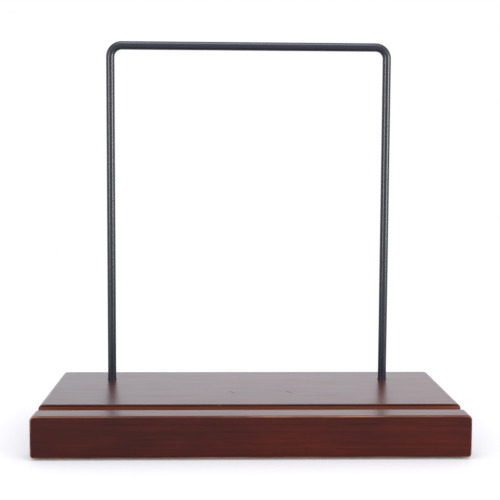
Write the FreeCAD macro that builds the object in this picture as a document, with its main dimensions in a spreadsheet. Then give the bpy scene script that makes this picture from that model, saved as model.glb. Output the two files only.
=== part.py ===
import FreeCAD, Part
import os

import Sketcher

# Photo album stand: a wooden board with a groove for the album's lower edge, a bent wire back rest
# whose two legs push into the board, and four thin pads under it. Millimetres, with +Z up, +X to
# the right and +Y to the back. The origin is on the table, under the middle of the board.

# Driving dimensions: alias, millimetres, meaning.
DIMENSIONS = [
    ("board_width", 231.0, "board, left end to right end"),
    ("board_depth", 115.0, "board, front face to back face"),
    ("board_thickness", 22.5, "board, underside to top face"),
    ("end_top_radius", 2.6, "rounding over the top of the board's two ends"),
    ("end_bottom_radius", 1.8, "rounding under the board's two ends"),
    ("face_edge_radius", 1.2, "rounding all round the board's front and back faces"),
    ("lip_depth", 14.0, "front face to the groove's front wall"),
    ("groove_width", 12.0, "groove, front wall to back wall"),
    ("groove_depth", 11.0, "top face to the groove's floor"),
    ("groove_edge_radius", 0.8, "rounding of the groove's mouth, along its length and at its ends"),
    ("wire_diameter", 5.0, "steel rod of the back rest"),
    ("bend_radius", 6.75, "rod's two bends, measured to its centre line"),
    ("rod_end_chamfer", 0.5, "break on the rod's two cut ends"),
    ("leg_spacing", 165.0, "leg to leg, centre to centre"),
    ("leg_setback", 23.0, "board's back face to the legs' centre line"),
    ("rest_height", 201.0, "top face to the centre line of the top bar"),
    ("socket_clearance", 0.1, "gap all round a leg in its socket"),
    ("socket_depth", 14.0, "top face to a socket's flat floor"),
    ("socket_chamfer", 0.5, "countersink at a socket's mouth"),
    ("pad_diameter", 14.0, "pad under the board"),
    ("pad_thickness", 1.0, "pad, table to board"),
    ("pad_inset", 16.0, "board's outer faces to a pad's centre"),
    ("pad_edge_radius", 0.3, "rounding of a pad's lower edge"),
]

# The pads' corners, with the side of each along X and along Y.
PAD_CORNERS = {
    "front_left": (-1, -1),
    "front_right": (1, -1),
    "back_left": (-1, 1),
    "back_right": (1, 1),
}

# The sketcher's numbers for a sketch's own origin and upright axis, and for the points of a curve.
ORIGIN = -1
LEVEL_AXIS = -1
UPRIGHT_AXIS = -2
START = 1
END = 2
CENTRE = 3

# Two lengths nearer than this are the same, in millimetres.
SAME = 1e-4


def same(a, b):
    return abs(a - b) < SAME


def upward():
    return FreeCAD.Vector(0, 0, 1)


def make_sheet(doc):
    """The spreadsheet that every size is bound to."""
    sheet = doc.addObject("Spreadsheet::Sheet", "Dims")
    for row, (alias, value, meaning) in enumerate(DIMENSIONS, start=1):
        sheet.set(f"A{row}", meaning)
        sheet.set(f"B{row}", str(value))
        sheet.setAlias(f"B{row}", alias)
    doc.recompute()
    return sheet


def make_body(doc, label, place):
    """An empty body. place maps x, y or z to an expression for that part of its Placement."""
    body = doc.addObject("PartDesign::Body", label)
    body.Label = label
    for axis, expression in place.items():
        body.setExpression(f"Placement.Base.{axis}", expression)
    return body


def add_sketch(body, name, role, lift=None):
    """A sketch on the body's origin plane of that role, lifted along its normal by an expression."""
    plane = next(plane for plane in body.Origin.OriginFeatures if plane.Role == role)
    sketch = body.newObject("Sketcher::SketchObject", name)
    sketch.AttachmentSupport = (plane, [""])
    sketch.MapMode = "FlatFace"
    if lift:
        sketch.setExpression("AttachmentOffset.Base.z", lift)
    return sketch


def relate(sketch, kind, *points):
    """A constraint with no value, such as Vertical, Equal or Tangent."""
    sketch.addConstraint(Sketcher.Constraint(kind, *points))


def measure(sketch, name, kind, points, value, expression):
    """A named constraint whose value is bound to the sheet."""
    index = sketch.addConstraint(Sketcher.Constraint(kind, *points, value))
    sketch.renameConstraint(index, name)
    sketch.setExpression(f"Constraints.{name}", expression)


def add_rectangle(sketch, left, low, right, high):
    """A closed rectangle of lines 0 to 3: bottom, right, top and left, each from its first corner."""
    corners = [(left, low), (right, low), (right, high), (left, high)]
    points = [FreeCAD.Vector(across, up, 0) for across, up in corners]
    for number, point in enumerate(points):
        following = points[(number + 1) % 4]
        sketch.addGeometry(Part.LineSegment(point, following), False)
    for number in range(4):
        relate(sketch, "Coincident", number, END, (number + 1) % 4, START)
        relate(sketch, "Vertical" if number % 2 else "Horizontal", number)


def add_circle(sketch, across, up, radius):
    centre = FreeCAD.Vector(across, up, 0)
    sketch.addGeometry(Part.Circle(centre, upward(), radius), False)


def add_pad(body, name, sketch, length):
    pad = body.newObject("PartDesign::Pad", name)
    pad.Profile = sketch
    pad.setExpression("Length", length)
    body.Document.recompute()
    return pad


def add_pocket(body, name, sketch, depth=None):
    """A pocket of a bound depth or, with none, through all both ways. It has to remove material."""
    before = body.Shape.Volume
    pocket = body.newObject("PartDesign::Pocket", name)
    pocket.Profile = sketch
    if depth:
        pocket.setExpression("Length", depth)
    else:
        pocket.Type = "ThroughAll"
        pocket.Midplane = True
    body.Document.recompute()
    if body.Shape.Volume >= before:
        raise RuntimeError(f"{name} removed nothing")
    return pocket


def dress(body, kind, name, size, wanted):
    """A fillet or chamfer on those edges of the body so far whose bounding box is wanted."""
    base = body.Tip
    edges = enumerate(base.Shape.Edges, start=1)
    names = [f"Edge{number}" for number, edge in edges if wanted(edge.BoundBox)]
    if not names:
        raise RuntimeError(f"{name} found no edge")
    dressing = body.newObject(f"PartDesign::{kind}", name)
    dressing.Base = (base, names)
    dressing.setExpression("Radius" if kind == "Fillet" else "Size", size)
    body.Document.recompute()
    return dressing


def make_base_board(doc, size):
    """The board: a rounded blank, the album's groove, and two sockets for the back rest."""
    body = make_body(doc, "base_board", {"z": "Dims.pad_thickness"})
    across = size.board_width / 2
    back = size.board_depth / 2
    top = size.board_thickness

    outline = add_sketch(body, "BoardOutline", "XY_Plane")
    add_rectangle(outline, -across, -back, across, back)
    relate(outline, "Symmetric", 0, START, 2, START, ORIGIN, START)
    measure(
        outline, "width", "DistanceX", (0, START, 0, END), size.board_width, "Dims.board_width"
    )
    measure(
        outline, "depth", "DistanceY", (1, START, 1, END), size.board_depth, "Dims.board_depth"
    )
    add_pad(body, "BoardBlank", outline, "Dims.board_thickness")

    def crosswise(box, height):
        return same(box.XLength, 0) and same(box.ZMin, height) and same(box.ZMax, height)

    # The ends are rounded over first, so that the outline of the front face, and of the back face,
    # is one smooth run of edges.
    dress(body, "Fillet", "EndTops", "Dims.end_top_radius", lambda box: crosswise(box, top))
    dress(body, "Fillet", "EndBottoms", "Dims.end_bottom_radius", lambda box: crosswise(box, 0))
    dress(
        body, "Fillet", "FaceEdges", "Dims.face_edge_radius",
        lambda box: same(box.YLength, 0) and same(abs(box.YMin), back),
    )
    cut_groove(body, size)
    bore_sockets(body, size)
    return body


def cut_groove(body, size):
    """The groove, milled out through both ends of the board, with its mouth rounded."""
    front = size.lip_depth - size.board_depth / 2
    back = front + size.groove_width
    top = size.board_thickness
    floor = top - size.groove_depth
    end = size.board_width / 2

    section = add_sketch(body, "GrooveSection", "YZ_Plane")
    add_rectangle(section, front, floor, back, top + size.groove_depth)
    measure(
        section, "lip", "DistanceX", (0, START, ORIGIN, START), -front,
        "Dims.board_depth / 2 - Dims.lip_depth",
    )
    measure(
        section, "width", "DistanceX", (0, START, 0, END), size.groove_width, "Dims.groove_width"
    )
    measure(
        section, "floor", "DistanceY", (ORIGIN, START, 0, START), floor,
        "Dims.board_thickness - Dims.groove_depth",
    )
    measure(
        section, "height", "DistanceY", (1, START, 1, END), 2 * size.groove_depth,
        "2 * Dims.groove_depth",
    )
    add_pocket(body, "Groove", section)

    # The mouth is one smooth run of edges on each wall: up one end, along the top, down the other.
    def at_mouth(box):
        on_wall = same(box.YLength, 0) and (same(box.YMin, front) or same(box.YMin, back))
        at_end = same(box.XLength, 0) and (same(box.XMin, -end) or same(box.XMin, end))
        return on_wall and (at_end or same(box.ZMin, top))

    dress(body, "Fillet", "GrooveMouth", "Dims.groove_edge_radius", at_mouth)


def bore_sockets(body, size):
    """Two blind, flat-bottomed holes in the top face, with countersunk mouths."""
    side = size.leg_spacing / 2
    row = size.board_depth / 2 - size.leg_setback
    radius = size.wire_diameter / 2 + size.socket_clearance
    top = size.board_thickness

    circles = add_sketch(body, "SocketCircles", "XY_Plane", "Dims.board_thickness")
    add_circle(circles, -side, row, radius)
    add_circle(circles, side, row, radius)
    relate(circles, "Equal", 0, 1)
    relate(circles, "Symmetric", 0, CENTRE, 1, CENTRE, UPRIGHT_AXIS)
    measure(
        circles, "spacing", "DistanceX", (0, CENTRE, 1, CENTRE), size.leg_spacing,
        "Dims.leg_spacing",
    )
    measure(
        circles, "row", "DistanceY", (ORIGIN, START, 0, CENTRE), row,
        "Dims.board_depth / 2 - Dims.leg_setback",
    )
    measure(
        circles, "bore", "Diameter", (0,), 2 * radius,
        "Dims.wire_diameter + 2 * Dims.socket_clearance",
    )
    add_pocket(body, "Sockets", circles, "Dims.socket_depth")
    dress(
        body, "Chamfer", "SocketMouths", "Dims.socket_chamfer",
        lambda box: same(box.ZMin, top) and same(box.XLength, 2 * radius),
    )


def make_wire_frame(doc, size):
    """The back rest: one round rod bent into an upside-down U, standing on the socket floors."""
    place = {
        "y": "Dims.board_depth / 2 - Dims.leg_setback",
        "z": "Dims.pad_thickness + Dims.board_thickness - Dims.socket_depth",
    }
    body = make_body(doc, "wire_frame", place)
    side = size.leg_spacing / 2

    path = add_sketch(body, "WirePath", "XZ_Plane")
    draw_wire_path(path, size)
    section = add_sketch(body, "WireSection", "XY_Plane")
    add_circle(section, -side, 0, size.wire_diameter / 2)
    relate(section, "PointOnObject", 0, CENTRE, LEVEL_AXIS)
    measure(
        section, "leg", "DistanceX", (0, CENTRE, ORIGIN, START), side, "Dims.leg_spacing / 2"
    )
    measure(section, "gauge", "Diameter", (0,), size.wire_diameter, "Dims.wire_diameter")

    rod = body.newObject("PartDesign::AdditivePipe", "BentRod")
    rod.Profile = section
    rod.Spine = (path, [""])
    doc.recompute()
    dress(
        body, "Chamfer", "RodEnds", "Dims.rod_end_chamfer",
        lambda box: same(box.ZMin, 0) and same(box.ZMax, 0),
    )
    return body


def draw_wire_path(path, size):
    """The rod's centre line: left leg, left bend, top bar, right bend, right leg."""
    left_leg, left_bend, top_bar, right_bend, right_leg = range(5)
    side = size.leg_spacing / 2
    bend = size.bend_radius
    bar = size.rest_height + size.socket_depth
    # From the sharp corner to the bend's middle, along each leg or along the bar.
    cut = bend * (1 - 0.5**0.5)

    def at(across, up):
        return FreeCAD.Vector(across, up, 0)

    lines_and_arcs = [
        Part.LineSegment(at(-side, 0), at(-side, bar - bend)),
        Part.Arc(at(-side, bar - bend), at(cut - side, bar - cut), at(bend - side, bar)),
        Part.LineSegment(at(bend - side, bar), at(side - bend, bar)),
        Part.Arc(at(side - bend, bar), at(side - cut, bar - cut), at(side, bar - bend)),
        Part.LineSegment(at(side, bar - bend), at(side, 0)),
    ]
    path.addGeometry(lines_and_arcs, False)

    # An arc in a sketch runs anticlockwise, so both bends run from right to left.
    relate(path, "Vertical", left_leg)
    relate(path, "Horizontal", top_bar)
    relate(path, "Vertical", right_leg)
    relate(path, "Tangent", left_leg, END, left_bend, END)
    relate(path, "Tangent", left_bend, START, top_bar, START)
    relate(path, "Tangent", top_bar, END, right_bend, END)
    relate(path, "Tangent", right_bend, START, right_leg, START)
    relate(path, "Equal", left_bend, right_bend)
    relate(path, "PointOnObject", left_leg, START, LEVEL_AXIS)
    relate(path, "Symmetric", left_leg, START, right_leg, END, UPRIGHT_AXIS)
    measure(path, "bend", "Radius", (left_bend,), bend, "Dims.bend_radius")
    measure(
        path, "spacing", "DistanceX", (left_leg, START, right_leg, END), size.leg_spacing,
        "Dims.leg_spacing",
    )
    measure(
        path, "height", "DistanceY", (ORIGIN, START, top_bar, START), bar,
        "Dims.rest_height + Dims.socket_depth",
    )


def make_foot_pad(doc, size, corner, x_side, y_side):
    """One thin round pad, stuck to the underside near a corner."""
    place = {
        "x": f"{x_side} * (Dims.board_width / 2 - Dims.pad_inset)",
        "y": f"{y_side} * (Dims.board_depth / 2 - Dims.pad_inset)",
    }
    body = make_body(doc, f"foot_pad_{corner}", place)
    disc = add_sketch(body, "PadDisc", "XY_Plane")
    add_circle(disc, 0, 0, size.pad_diameter / 2)
    relate(disc, "Coincident", 0, CENTRE, ORIGIN, START)
    measure(disc, "across", "Diameter", (0,), size.pad_diameter, "Dims.pad_diameter")
    add_pad(body, "PadBlank", disc, "Dims.pad_thickness")
    dress(body, "Fillet", "PadEdge", "Dims.pad_edge_radius", lambda box: same(box.ZMax, 0))
    return body


def check(doc, bodies):
    """Every object has to be sound, and every body one valid solid."""
    for item in doc.Objects:
        if "Invalid" in item.State or "Error" in item.State:
            raise RuntimeError(f"{item.Label} is in state {item.State}")
    for body in bodies:
        shape = body.Shape
        if shape.isNull() or not shape.isValid() or len(shape.Solids) != 1:
            raise RuntimeError(f"{body.Label} isn't one valid solid")


def main():
    doc = FreeCAD.newDocument("album_stand")
    size = make_sheet(doc)
    bodies = [make_base_board(doc, size), make_wire_frame(doc, size)]
    for corner, (x_side, y_side) in PAD_CORNERS.items():
        bodies.append(make_foot_pad(doc, size, corner, x_side, y_side))
    doc.recompute()
    check(doc, bodies)

    os.makedirs("parts", exist_ok=True)
    for body in bodies:
        body.Shape.exportStep(f"parts/{body.Label}.step")
        box = body.Shape.BoundBox
        print(
            f"{body.Label}: {body.Shape.Volume:.1f} mm3,"
            f" x {box.XMin:.2f} to {box.XMax:.2f},"
            f" y {box.YMin:.2f} to {box.YMax:.2f},"
            f" z {box.ZMin:.2f} to {box.ZMax:.2f}"
        )


main()
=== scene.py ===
from math import cos, radians, sin

import bpy
from mathutils import Matrix, Vector


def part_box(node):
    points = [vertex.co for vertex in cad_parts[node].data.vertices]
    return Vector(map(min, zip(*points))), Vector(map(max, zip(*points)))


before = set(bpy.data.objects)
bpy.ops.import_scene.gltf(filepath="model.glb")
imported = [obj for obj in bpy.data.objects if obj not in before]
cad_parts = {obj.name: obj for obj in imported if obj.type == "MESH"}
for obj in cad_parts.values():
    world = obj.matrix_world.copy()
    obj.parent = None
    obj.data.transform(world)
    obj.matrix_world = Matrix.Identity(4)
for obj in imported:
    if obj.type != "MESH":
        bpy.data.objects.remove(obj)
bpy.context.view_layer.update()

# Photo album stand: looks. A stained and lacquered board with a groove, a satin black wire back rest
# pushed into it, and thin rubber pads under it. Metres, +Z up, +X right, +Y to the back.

# Camera: place in metres, turns in degrees, lens in millimetres on a sensor 36 mm wide.
CAMERA_PLACE = Vector((-0.0170, -0.5668, 0.1508))
CAMERA_YAW = 1.725
CAMERA_PITCH = -4.561
CAMERA_ROLL = -0.286
CAMERA_LENS = 71.74

MILLIMETRES = 1000.0


class Graph:
    """The node tree of one material or of the world, with a short call for each kind of node."""

    def __init__(self, owner):
        owner.use_nodes = True
        self.tree = owner.node_tree
        self.tree.nodes.clear()

    def node(self, kind, **settings):
        node = self.tree.nodes.new(kind)
        for name, value in settings.items():
            setattr(node, name, value)
        return node

    def feed(self, socket, value):
        """Links a socket, or sets a plain number or colour on it."""
        if isinstance(value, bpy.types.NodeSocket):
            self.tree.links.new(value, socket)
        else:
            socket.default_value = value

    def math(self, operation, a, b=0.0, clamp=False):
        node = self.node("ShaderNodeMath", operation=operation, use_clamp=clamp)
        for socket, value in zip(node.inputs, (a, b)):
            self.feed(socket, value)
        return node.outputs[0]

    def total(self, *values):
        result = values[0]
        for value in values[1:]:
            result = self.math("ADD", result, value)
        return result

    def product(self, *values):
        result = values[0]
        for value in values[1:]:
            result = self.math("MULTIPLY", result, value)
        return result

    def ramp(self, value, low, high, start=0.0, end=1.0, smooth=True):
        """value from low to high becomes start to end, and stays there outside."""
        node = self.node("ShaderNodeMapRange")
        node.interpolation_type = "SMOOTHSTEP" if smooth else "LINEAR"
        node.clamp = True
        for socket, number in zip(node.inputs, (value, low, high, start, end)):
            self.feed(socket, number)
        return node.outputs["Result"]

    def stretch(self, vector, scale):
        node = self.node("ShaderNodeVectorMath", operation="MULTIPLY")
        self.feed(node.inputs[0], vector)
        self.feed(node.inputs[1], scale)
        return node.outputs["Vector"]

    def split(self, vector):
        node = self.node("ShaderNodeSeparateXYZ")
        self.feed(node.inputs[0], vector)
        return node.outputs["X"], node.outputs["Y"], node.outputs["Z"]

    def join(self, x, y, z):
        node = self.node("ShaderNodeCombineXYZ")
        for socket, value in zip(node.inputs, (x, y, z)):
            self.feed(socket, value)
        return node.outputs["Vector"]

    def noise(self, vector, scale, detail=2.0, roughness=0.5):
        node = self.node("ShaderNodeTexNoise", noise_dimensions="3D")
        self.feed(node.inputs["Vector"], vector)
        self.feed(node.inputs["Scale"], scale)
        self.feed(node.inputs["Detail"], detail)
        self.feed(node.inputs["Roughness"], roughness)
        return node.outputs["Fac"]

    def noise_line(self, position, scale, detail=2.0, roughness=0.5):
        """Noise along one number, such as the distance from a tree's middle."""
        node = self.node("ShaderNodeTexNoise", noise_dimensions="1D")
        self.feed(node.inputs["W"], position)
        self.feed(node.inputs["Scale"], scale)
        self.feed(node.inputs["Detail"], detail)
        self.feed(node.inputs["Roughness"], roughness)
        return node.outputs["Fac"]

    def specks(self, vector, scale):
        """Distance to the nearest of a cloud of points, and each point's own random colour."""
        node = self.node("ShaderNodeTexVoronoi", feature="F1")
        self.feed(node.inputs["Vector"], vector)
        self.feed(node.inputs["Scale"], scale)
        return node.outputs["Distance"], node.outputs["Color"]

    def mix(self, factor, a, b):
        """A mix of two colours, each a socket or (r, g, b)."""
        node = self.node("ShaderNodeMix", data_type="RGBA")
        self.feed(node.inputs["Factor"], factor)
        colours = [socket for socket in node.inputs if socket.type == "RGBA"]
        for socket, value in zip(colours, (a, b)):
            plain = not isinstance(value, bpy.types.NodeSocket)
            self.feed(socket, (*value, 1.0) if plain else value)
        return next(socket for socket in node.outputs if socket.type == "RGBA")

    def bump(self, height, distance, strength=1.0, normal=None):
        """Relief of a height from 0 to 1, at that distance in metres."""
        node = self.node("ShaderNodeBump")
        self.feed(node.inputs["Height"], height)
        self.feed(node.inputs["Distance"], distance)
        self.feed(node.inputs["Strength"], strength)
        if normal:
            self.feed(node.inputs["Normal"], normal)
        return node.outputs["Normal"]

    def place_mm(self):
        """The point's place in the row frame, in millimetres."""
        coordinates = self.node("ShaderNodeTexCoord")
        return self.stretch(coordinates.outputs["Object"], (MILLIMETRES,) * 3)

    def facing(self):
        """How far the surface faces along X, Y and Z."""
        geometry = self.node("ShaderNodeNewGeometry")
        return self.split(geometry.outputs["Normal"])

    def surface(self, shader):
        output = self.node("ShaderNodeOutputMaterial")
        self.tree.links.new(shader, output.inputs["Surface"])

    def principled(self, **values):
        """The finished surface. Names are the shader's own, with _ for a space."""
        shader = self.node("ShaderNodeBsdfPrincipled")
        for name, value in values.items():
            socket = shader.inputs[name.replace("_", " ")]
            plain_colour = socket.type == "RGBA" and not isinstance(value, bpy.types.NodeSocket)
            self.feed(socket, (*value, 1.0) if plain_colour else value)
        self.surface(shader.outputs["BSDF"])


def new_material(name):
    material = bpy.data.materials.new(name)
    return material, Graph(material)


def dress(node, material):
    """Gives a CAD node its finish."""
    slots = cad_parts[node].data.materials
    slots.clear()
    slots.append(material)


# ---- the board ----

# The tree's middle lies below the board and runs along it, so that the top shows long grain, and the
# ends show shallow arcs. Millimetres.
PITH_Y = 22.0
PITH_Z = -88.0
PITH_SLOPE = 0.012
RING_DENSITY = 0.55
RING_SWAY = 5.0

STAIN_DARK = (0.035, 0.0030, 0.0016)
STAIN_LIGHT = (0.120, 0.0108, 0.0030)
STAIN_COOL = (0.036, 0.0060, 0.0062)
STAIN_GROOVE = (0.270, 0.0840, 0.0470)
# Lighter wood of the rubbed edges, made brighter so that it also stands in for a painted highlight along
# them.
BARE_WOOD_AND_HIGHLIGHT = (0.560, 0.2500, 0.1500)
FLECK = (0.300, 0.0900, 0.0250)
# Dark of the pores and knots, also used for the painted shade ring round each leg.
PORE_KNOT_AND_SHADE_DARK = (0.012, 0.0035, 0.0030)
LACQUER_IOR = 1.31

# Two pin knots in the top: place along X and Y, in millimetres, and the turn of each short dark line.
PIN_KNOTS = [(-9.8, -1.0, -62.0), (22.9, -1.0, -60.0)]
KNOT_HALF_LENGTH = 4.6
KNOT_HALF_WIDTH = 0.55
KNOT_REACH = 9.0
KNOT_BEND = 0.045
KNOT_PUSH = 1.6

# The groove's walls, back from the board's front face, and how far the mask of its paler stain reaches
# and fades past them. It starts below the rounded mouth, at these depths. Millimetres.
GROOVE_FRONT = 14.0
GROOVE_BACK = 26.0
GROOVE_REACH = 2.0
GROOVE_FADE = 0.6
MOUTH_START = 0.9
MOUTH_END = 1.3

# The rub on the outer edges, which also carries a painted highlight: how far in it reaches and is full,
# and how far from the middle the front edge is rubbed and highlit fully and lightly. Millimetres.
RUB_AND_HIGHLIGHT_REACH = 6.0
RUB_AND_HIGHLIGHT_FULL = 3.0
HANDLED_AND_HIGHLIGHT_FULL = 50.0
HANDLED_AND_HIGHLIGHT_LIGHT = 90.0

# The painted shade ring round each leg where it goes in, out from the rod's surface. Millimetres.
SEAT_RING_DARK = 0.3
SEAT_RING_END = 1.3


def wood_rings(graph, x, y, z, place):
    """Growth rings, 0 to 1: bands of uneven width at a distance from the tree's middle."""
    sway = graph.noise(graph.stretch(place, (0.006, 0.02, 0.02)), 1.0, 2.0)
    shift = graph.ramp(sway, 0.0, 1.0, -RING_SWAY, RING_SWAY, smooth=False)
    across = graph.total(y, -PITH_Y, shift)
    up = graph.total(z, -PITH_Z, graph.product(x, PITH_SLOPE))
    distance = graph.math("SQRT", graph.total(graph.product(across, across), graph.product(up, up)))
    return graph.noise_line(distance, RING_DENSITY, 3.0, 0.65)


def wood_knots(graph, x, y, facing_z):
    """The pin knots as a mask, and how far each pushes the grain round it aside."""
    mask = 0.0
    push = 0.0
    for knot_x, knot_y, turn in PIN_KNOTS:
        ahead = (cos(radians(turn)), sin(radians(turn)))
        from_x = graph.total(x, -knot_x)
        from_y = graph.total(y, -knot_y)
        along = graph.total(graph.product(from_x, ahead[0]), graph.product(from_y, ahead[1]))
        aside = graph.total(graph.product(from_x, -ahead[1]), graph.product(from_y, ahead[0]))
        aside = graph.total(aside, graph.product(along, along, KNOT_BEND))
        thin = graph.ramp(graph.math("ABSOLUTE", aside), KNOT_HALF_WIDTH, 0.1)
        short = graph.ramp(graph.math("ABSOLUTE", along), KNOT_HALF_LENGTH, 1.0)
        mask = graph.math("MAXIMUM", graph.product(thin, short), mask)
        squares = graph.total(graph.product(from_x, from_x, 0.4), graph.product(from_y, from_y))
        near = graph.ramp(graph.math("SQRT", squares), KNOT_REACH, 0.0)
        push = graph.total(graph.product(near, KNOT_PUSH), push)
    upward = graph.ramp(facing_z, 0.9, 0.98)
    return graph.product(mask, upward), graph.product(push, upward)


def wood_material(board_low, board_high, wire_low, wire_high):
    """Straight-grained wood under red-brown stain and satin lacquer, rubbed lighter at its edges where a
    painted highlight is mixed in, with a painted shade ring round each leg.
    """
    material, graph = new_material("stained_wood")
    place = graph.place_mm()
    x, y, z = graph.split(place)
    facing_x, facing_y, facing_z = graph.facing()
    top = board_high.z * MILLIMETRES
    end = board_high.x * MILLIMETRES
    front = board_low.y * MILLIMETRES
    end_face = graph.ramp(graph.math("ABSOLUTE", facing_x), 0.6, 0.9)

    knots, push = wood_knots(graph, x, y, facing_z)
    grain = graph.join(x, graph.total(y, push), z)
    rings = wood_rings(graph, x, y, z, place)
    streaks = graph.noise(graph.stretch(grain, (0.014, 0.60, 0.80)), 1.0, 4.0, 0.65)
    fibres = graph.noise(graph.stretch(grain, (0.050, 1.70, 2.00)), 1.0, 4.0, 0.70)
    hairs = graph.noise(graph.stretch(grain, (0.120, 5.00, 5.50)), 1.0, 2.0, 0.60)
    clouds = graph.noise(graph.stretch(place, (0.026, 0.05, 0.07)), 1.0, 3.0, 0.60)

    # Tone: clouds where the stain took unevenly, long streaks, rings, fibres, and a slow drift that
    # leaves the left end darker.
    drift = graph.ramp(x, -end, end, -0.12, 0.12, smooth=False)
    tone = graph.total(
        graph.ramp(clouds, 0.30, 0.70, -0.18, 0.18, smooth=False),
        graph.ramp(streaks, 0.25, 0.75, -0.16, 0.16, smooth=False),
        graph.ramp(fibres, 0.25, 0.75, -0.28, 0.28, smooth=False),
        graph.ramp(rings, 0.25, 0.75, -0.13, 0.13, smooth=False),
        graph.product(end_face, graph.ramp(rings, 0.35, 0.65, -0.35, 0.15)),
        drift,
        0.33,
    )
    colour = graph.mix(graph.math("MAXIMUM", tone, 0.0, clamp=True), STAIN_DARK, STAIN_LIGHT)
    cool = graph.product(graph.ramp(x, 0.2 * end, -end), graph.ramp(clouds, 0.35, 0.6, 1.0, 0.5))
    colour = graph.mix(graph.product(cool, 0.45), colour, STAIN_COOL)

    # Pores: short dark dashes along the grain, dots on the end grain. A few light flecks.
    pore_distance, pore_random = graph.specks(graph.stretch(place, (0.16, 1.7, 1.7)), 1.0)
    pore_pick = graph.split(pore_random)[0]
    pores = graph.product(
        graph.ramp(pore_distance, 0.04, 0.16, 1.0, 0.0), graph.ramp(pore_pick, 0.55, 0.75)
    )
    colour = graph.mix(graph.product(pores, 0.40), colour, PORE_KNOT_AND_SHADE_DARK)
    fleck_distance, fleck_random = graph.specks(graph.stretch(place, (0.11, 0.16, 0.16)), 1.0)
    flecks = graph.product(
        graph.ramp(fleck_distance, 0.05, 0.09, 1.0, 0.0),
        graph.ramp(graph.split(fleck_random)[1], 0.90, 0.94),
    )
    colour = graph.mix(graph.product(flecks, 0.50), colour, FLECK)

    # The groove took less stain.
    groove = groove_mask(graph, y, z, facing_x, facing_z, front, top)
    groove_dark = graph.total(graph.ramp(streaks, 0.35, 0.75, 0.05, 0.55), graph.product(drift, -1.0))
    groove_tone = graph.mix(groove_dark, STAIN_GROOVE, STAIN_LIGHT)
    colour = graph.mix(graph.product(groove, 0.9), colour, groove_tone)

    # Outer edges are rubbed through to lighter wood, in patches, and the same colour paints a highlight
    # along the rounded edges.
    rim = rim_mask(graph, facing_x, facing_y, facing_z)
    patch = graph.noise(graph.stretch(place, (0.03, 0.10, 0.10)), 1.0, 3.0, 0.6)
    from_middle = graph.math("ABSOLUTE", x)
    outer = graph.ramp(y, front + RUB_AND_HIGHLIGHT_REACH, front + RUB_AND_HIGHLIGHT_FULL)
    ends = graph.ramp(from_middle, end - RUB_AND_HIGHLIGHT_REACH, end - RUB_AND_HIGHLIGHT_FULL)
    handled_and_highlight = graph.ramp(from_middle, HANDLED_AND_HIGHLIGHT_LIGHT, HANDLED_AND_HIGHLIGHT_FULL, 0.45, 1.0)
    where = graph.total(graph.product(outer, handled_and_highlight), graph.product(ends, 0.4))
    wear_and_highlight = graph.product(rim, where, graph.ramp(patch, 0.32, 0.66, 0.15, 1.0))
    colour = graph.mix(graph.product(wear_and_highlight, 0.66), colour, BARE_WOOD_AND_HIGHLIGHT)

    # The knots, and a painted shade ring where each leg goes in.
    seat_shade = seat_shade_mask(graph, x, y, facing_z, wire_low, wire_high)
    dark = graph.math("MAXIMUM", graph.product(knots, 0.85), graph.product(seat_shade, 0.8))
    colour = graph.mix(dark, colour, PORE_KNOT_AND_SHADE_DARK)

    gloss = graph.total(
        graph.ramp(fibres, 0.25, 0.75, 0.29, 0.39, smooth=False),
        graph.ramp(streaks, 0.25, 0.75, -0.035, 0.035, smooth=False),
        graph.product(groove, 0.14),
        graph.product(end_face, 0.08),
        graph.product(knots, 0.25),
    )
    swell = graph.noise(graph.stretch(place, (0.02, 0.05, 0.05)), 1.0, 1.0)
    relief = graph.bump(swell, 0.00020, 0.5)
    relief = graph.bump(streaks, 0.000030, 0.6, relief)
    relief = graph.bump(graph.math("SUBTRACT", fibres, pores), 0.000016, 0.7, relief)
    relief = graph.bump(hairs, 0.000006, 0.6, relief)
    graph.principled(
        Base_Color=colour,
        Roughness=gloss,
        IOR=LACQUER_IOR,
        Normal=relief,
    )
    return material


def groove_mask(graph, y, z, facing_x, facing_z, front, top):
    """1 on the groove's walls and floor, 0 outside it."""
    nearest = front + GROOVE_FRONT - GROOVE_REACH
    farthest = front + GROOVE_BACK + GROOVE_REACH
    low = graph.ramp(z, top - MOUTH_START, top - MOUTH_END)
    behind = graph.ramp(y, nearest, nearest + GROOVE_FADE)
    before = graph.ramp(y, farthest, farthest - GROOVE_FADE)
    inward = graph.ramp(graph.math("ABSOLUTE", facing_x), 0.6, 0.4)
    upward = graph.ramp(facing_z, -0.5, -0.3)
    return graph.product(low, behind, before, inward, upward)


def rim_mask(graph, facing_x, facing_y, facing_z):
    """1 in the middle of a rounded edge, 0 on the flats."""
    largest = graph.math("ABSOLUTE", facing_x)
    for facing in (facing_y, facing_z):
        largest = graph.math("MAXIMUM", largest, graph.math("ABSOLUTE", facing))
    return graph.ramp(largest, 0.985, 0.86)


def seat_shade_mask(graph, x, y, facing_z, wire_low, wire_high):
    """1 close round each leg on the top face, fading outwards, where shade is painted round the leg."""
    radius = (wire_high.y - wire_low.y) / 2 * MILLIMETRES
    leg_x = wire_high.x * MILLIMETRES - radius
    leg_y = (wire_high.y + wire_low.y) / 2 * MILLIMETRES
    across = graph.total(graph.math("ABSOLUTE", x), -leg_x)
    back = graph.total(y, -leg_y)
    distance = graph.math("SQRT", graph.total(graph.product(across, across), graph.product(back, back)))
    ring = graph.ramp(distance, radius + SEAT_RING_END, radius + SEAT_RING_DARK)
    return graph.product(ring, graph.ramp(facing_z, 0.5, 0.7))


# ---- the back rest ----

COATING_DARK = (0.0070, 0.0078, 0.0135)
COATING_LIGHT = (0.0100, 0.0110, 0.0185)
COATING_RUBBED = (0.0300, 0.0280, 0.0270)
COATING_IOR = 1.44


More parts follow.
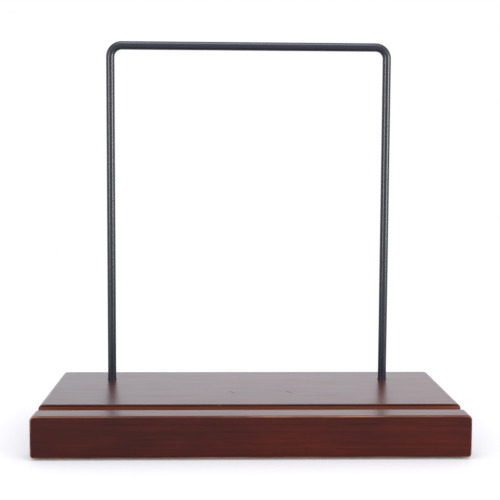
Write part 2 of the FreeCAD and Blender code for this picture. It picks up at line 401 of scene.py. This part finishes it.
def wire_material(board_top):
    """Satin black coating on steel rod, finely pebbled, polished where it enters the board."""
    material, graph = new_material("black_wire")
    place = graph.place_mm()
    z = graph.split(place)[2]
    pebble = graph.noise(place, 3.5, 2.0, 0.5)
    cloud = graph.noise(place, 0.06, 2.0)
    seat = graph.ramp(z, board_top * MILLIMETRES + 2.5, board_top * MILLIMETRES - 1.0)
    colour = graph.mix(cloud, COATING_DARK, COATING_LIGHT)
    colour = graph.mix(graph.product(seat, 0.4), colour, COATING_RUBBED)
    grazing = graph.node("ShaderNodeLayerWeight")
    grazing.inputs["Blend"].default_value = 0.5
    gloss = graph.total(
        graph.ramp(cloud, 0.3, 0.7, 0.24, 0.27, smooth=False),
        graph.ramp(grazing.outputs["Facing"], 0.55, 0.95, 0.0, 0.35),
    )
    graph.principled(
        Base_Color=colour,
        Roughness=gloss,
        IOR=COATING_IOR,
        Normal=graph.bump(pebble, 0.000004, 0.5),
    )
    return material


# ---- the pads ----

RUBBER_BLACK = (0.022, 0.021, 0.020)
RUBBER_DUST = (0.060, 0.057, 0.053)


def rubber_material():
    """Dark rubber with a fine moulded grain and a little dust."""
    material, graph = new_material("pad_rubber")
    place = graph.place_mm()
    grain = graph.noise(place, 3.5, 4.0, 0.7)
    dust = graph.noise(place, 0.35, 3.0)
    colour = graph.mix(graph.ramp(dust, 0.45, 0.8), RUBBER_BLACK, RUBBER_DUST)
    graph.principled(
        Base_Color=colour,
        Roughness=graph.ramp(grain, 0.2, 0.8, 0.7, 0.9, smooth=False),
        Normal=graph.bump(grain, 0.00005, 0.6),
    )
    return material


# ---- floor, lights and camera ----

# The floor's half width, its colour in the object's light and to the camera, a little glow that only the
# camera sees, and the distances from the middle over which it fades out. Metres.
FLOOR_HALF = 3.0
FLOOR_COLOUR = (0.84, 0.84, 0.84)
FLOOR_SEEN = (0.88, 0.87, 0.87)
FLOOR_GLOW = 0.14
FADE_START = 0.30
FADE_END = 0.90


def make_floor():
    """A pale floor at z = 0, which fades into the white background some way from the object."""
    mesh = bpy.data.meshes.new("floor")
    corners = [(-1, -1), (1, -1), (1, 1), (-1, 1)]
    mesh.from_pydata([(a * FLOOR_HALF, b * FLOOR_HALF, 0.0) for a, b in corners], [], [(0, 1, 2, 3)])
    floor = bpy.data.objects.new("floor", mesh)
    bpy.context.scene.collection.objects.link(floor)

    material, graph = new_material("floor_paper")
    x, y, _ = graph.split(graph.node("ShaderNodeTexCoord").outputs["Object"])
    distance = graph.math("SQRT", graph.total(graph.product(x, x), graph.product(y, y)))
    diffuse = graph.node("ShaderNodeBsdfDiffuse")
    seen = graph.node("ShaderNodeLightPath").outputs["Is Camera Ray"]
    graph.feed(diffuse.inputs["Color"], graph.mix(seen, FLOOR_COLOUR, FLOOR_SEEN))
    clear = graph.node("ShaderNodeBsdfTransparent")
    blend = graph.node("ShaderNodeMixShader")
    graph.feed(blend.inputs[0], graph.ramp(distance, FADE_START, FADE_END))
    glow = graph.node("ShaderNodeEmission")
    graph.feed(glow.inputs["Strength"], graph.product(seen, FLOOR_GLOW))
    lit = graph.node("ShaderNodeAddShader")
    graph.feed(lit.inputs[0], diffuse.outputs[0])
    graph.feed(lit.inputs[1], glow.outputs[0])
    graph.feed(blend.inputs[1], lit.outputs[0])
    graph.feed(blend.inputs[2], clear.outputs[0])
    graph.surface(blend.outputs[0])
    mesh.materials.append(material)


WORLD_SOFT_LIGHT = 0.80


def make_world():
    """White to the camera and to reflections, and a weaker soft light on matte surfaces."""
    world = bpy.data.worlds.new("studio")
    bpy.context.scene.world = world
    graph = Graph(world)
    rays = graph.node("ShaderNodeLightPath")
    seen = graph.math("MAXIMUM", rays.outputs["Is Camera Ray"], rays.outputs["Is Glossy Ray"])
    seen = graph.math("MAXIMUM", seen, rays.outputs["Is Transmission Ray"])
    background = graph.node("ShaderNodeBackground")
    graph.feed(background.inputs["Color"], (1.0, 1.0, 1.0, 1.0))
    graph.feed(background.inputs["Strength"], graph.ramp(seen, 0.0, 1.0, WORLD_SOFT_LIGHT, 1.0))
    output = graph.node("ShaderNodeOutputWorld")
    graph.feed(output.inputs["Surface"], background.outputs[0])


# Softboxes: name, place, what it points at, width and height in metres, watts, colour.
SOFTBOXES = [
    ("top_box", (0.0, -0.25, 1.20), (0.0, 0.0, 0.05), 0.46, 0.50, 3.0, (0.66, 0.73, 1.0)),
    ("back_box", (0.0, 1.30, 0.28), (0.0, 0.0, 0.10), 2.4, 0.55, 5.4, (0.80, 0.88, 1.0)),
    ("right_box", (0.90, -0.76, 0.55), (0.0, 0.0, 0.02), 0.80, 0.50, 3.3, (1.0, 0.99, 0.98)),
    ("left_box", (-0.90, -0.76, 0.55), (0.0, 0.0, 0.02), 0.80, 0.50, 2.1, (1.0, 0.99, 0.98)),
]

# Bright strips in the same form. They light the back rest alone, so that the board's satin top doesn't
# mirror them when it is seen low from behind.
STRIPS = [
    ("right_strip", (1.03, -0.71, 0.25), (0.0, 0.0, 0.15), 0.45, 0.50, 12.5, (1.0, 0.99, 0.98)),
    ("top_strip", (0.0, -0.35, 1.15), (0.0, 0.0, 0.20), 1.20, 0.90, 11.5, (0.66, 0.71, 0.97)),
    ("left_strip", (-0.85, -0.91, 0.25), (0.0, 0.0, 0.15), 0.40, 0.50, 8.0, (1.0, 0.99, 0.98)),
]


def make_softbox(name, place, aim, width, height, watts, colour):
    light = bpy.data.lights.new(name, "AREA")
    light.shape = "RECTANGLE"
    light.size = width
    light.size_y = height
    light.energy = watts
    light.color = colour
    lamp = bpy.data.objects.new(name, light)
    lamp.location = place
    lamp.visible_camera = False
    direction = Vector(aim) - Vector(place)
    lamp.rotation_euler = direction.to_track_quat("-Z", "Y").to_euler()
    bpy.context.scene.collection.objects.link(lamp)
    return lamp


def make_lights():
    for row in SOFTBOXES:
        make_softbox(*row)
    back_rest = bpy.data.collections.new("back_rest")
    back_rest.objects.link(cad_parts["wire_frame"])
    for row in STRIPS:
        make_softbox(*row).light_linking.receiver_collection = back_rest


def make_camera():
    """A camera turned by yaw to the right, pitch up and roll, from looking level along +Y."""
    yaw, pitch, roll = (radians(turn) for turn in (CAMERA_YAW, CAMERA_PITCH, CAMERA_ROLL))
    ahead = Vector((sin(yaw) * cos(pitch), cos(yaw) * cos(pitch), sin(pitch)))
    level_right = Vector((cos(yaw), -sin(yaw), 0.0))
    level_down = ahead.cross(level_right)
    right = cos(roll) * level_right + sin(roll) * level_down
    down = cos(roll) * level_down - sin(roll) * level_right
    data = bpy.data.cameras.new("camera")
    data.lens = CAMERA_LENS
    camera = bpy.data.objects.new("camera", data)
    turn = Matrix((right, -down, -ahead)).transposed()
    camera.matrix_world = Matrix.Translation(CAMERA_PLACE) @ turn.to_4x4()
    bpy.context.scene.collection.objects.link(camera)
    bpy.context.scene.camera = camera


def main():
    board_low, board_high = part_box("base_board")
    wire_low, wire_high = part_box("wire_frame")
    dress("base_board", wood_material(board_low, board_high, wire_low, wire_high))
    dress("wire_frame", wire_material(board_high.z))
    rubber = rubber_material()
    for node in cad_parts:
        if node.startswith("foot_pad"):
            dress(node, rubber)
    make_floor()
    make_world()
    make_lights()
    make_camera()
    bpy.context.scene.view_settings.view_transform = "Standard"


main()
